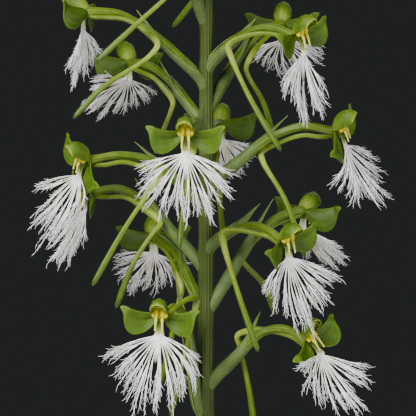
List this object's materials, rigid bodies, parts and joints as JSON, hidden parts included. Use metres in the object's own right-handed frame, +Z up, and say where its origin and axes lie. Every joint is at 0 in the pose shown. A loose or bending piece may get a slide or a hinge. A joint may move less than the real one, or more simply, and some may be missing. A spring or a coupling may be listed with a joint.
{
  "type": "potted habenaria medioflexa orchid",
  "caption": "Potted ground orchid in flower: leafy upright stem with a loose spike of green flowers, each with a white fringed lip and a long bent spur.",
  "frame": {"origin": "centre of the pot's underside, on the surface that it stands on", "axes": "+Z up along the plant; -Y towards the side that shows best, +X to the right of it"},
  "size_m": [0.2295, 0.215, 0.4571],
  "materials": {
    "pot": "matte",
    "potting_mix": "matte",
    "stem": "satin",
    "leaf": "satin",
    "flower_green": "satin",
    "column": "satin",
    "lip": "matte"
  },
  "bodies": {
    "root": {"pot": "pot", "potting_mix": "potting_mix", "stem_and_buds": "stem", "leaf_1": "leaf", "leaf_2": "leaf", "leaf_3": "leaf", "leaf_4": "leaf", "leaf_5": "leaf", "leaf_6": "leaf", "flower_01_green": "flower_green", "flower_01_column": "column", "flower_01_lip": "lip", "flower_02_green": "flower_green", "flower_02_column": "column", "flower_02_lip": "lip", "flower_03_green": "flower_green", "flower_03_column": "column", "flower_03_lip": "lip", "flower_04_green": "flower_green", "flower_04_column": "column", "flower_04_lip": "lip", "flower_05_green": "flower_green", "flower_05_column": "column", "flower_05_lip": "lip", "flower_06_green": "flower_green", "flower_06_column": "column", "flower_06_lip": "lip", "flower_07_green": "flower_green", "flower_07_column": "column", "flower_07_lip": "lip", "flower_08_green": "flower_green", "flower_08_column": "column", "flower_08_lip": "lip", "flower_09_green": "flower_green", "flower_09_column": "column", "flower_09_lip": "lip", "flower_10_green": "flower_green", "flower_10_column": "column", "flower_10_lip": "lip", "flower_11_green": "flower_green", "flower_11_column": "column", "flower_11_lip": "lip", "flower_12_green": "flower_green", "flower_12_column": "column", "flower_12_lip": "lip", "flower_13_green": "flower_green", "flower_13_column": "column", "flower_13_lip": "lip", "flower_14_green": "flower_green", "flower_14_column": "column", "flower_14_lip": "lip", "flower_15_green": "flower_green", "flower_15_column": "column", "flower_15_lip": "lip", "flower_16_green": "flower_green", "flower_16_column": "column", "flower_16_lip": "lip"}
  },
  "joints": []
}
